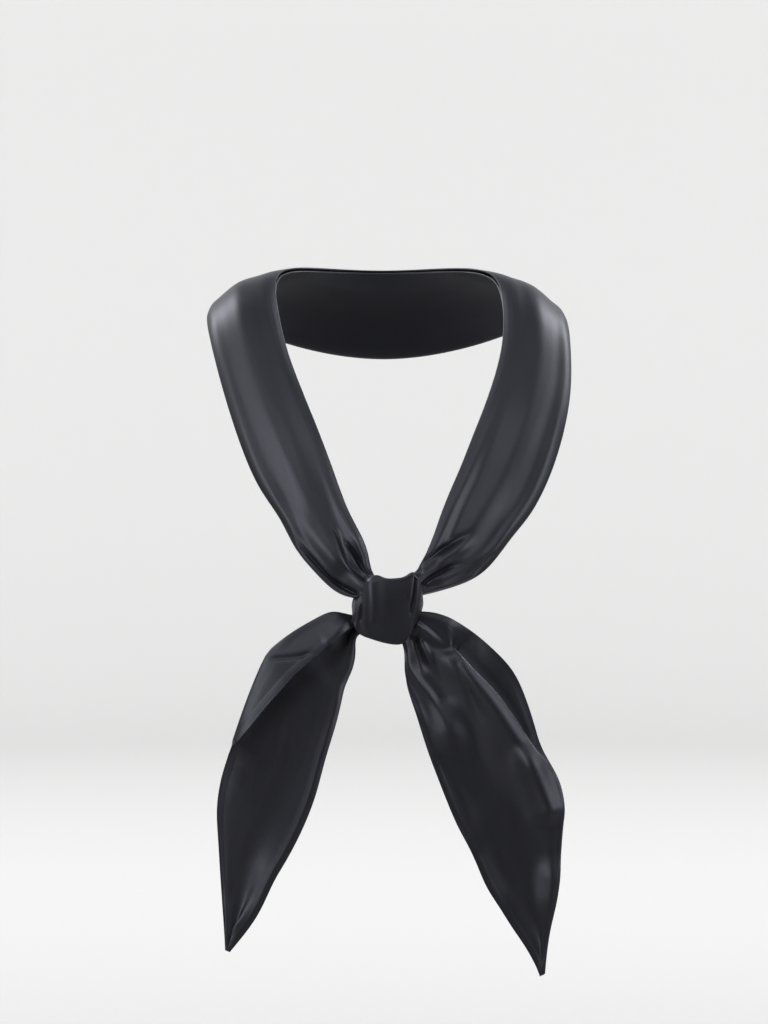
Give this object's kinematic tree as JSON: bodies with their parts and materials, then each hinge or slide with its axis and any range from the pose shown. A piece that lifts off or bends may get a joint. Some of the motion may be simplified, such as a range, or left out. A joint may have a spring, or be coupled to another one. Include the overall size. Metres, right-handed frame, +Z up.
{
  "type": "sailor tie",
  "caption": "Sailor neckerchief tied with a flat knot: a folded band round the neck, a wrapped knot on the chest and hanging pointed tails.",
  "frame": {"origin": "upper edge of the neck band at the middle of the back, where it sits on the nape of the neck", "axes": "+Z up, the wearer faces -Y, +X to the right of someone who looks at the wearer's front"},
  "size_m": [0.2377, 0.2256, 0.4435],
  "materials": {
    "satin": "thin satin weave, near black with a cool cast"
  },
  "bodies": {
    "root": {"neck_band": "satin", "knot_wrap": "satin", "left_tail": "satin", "right_tail": "satin"}
  },
  "joints": []
}
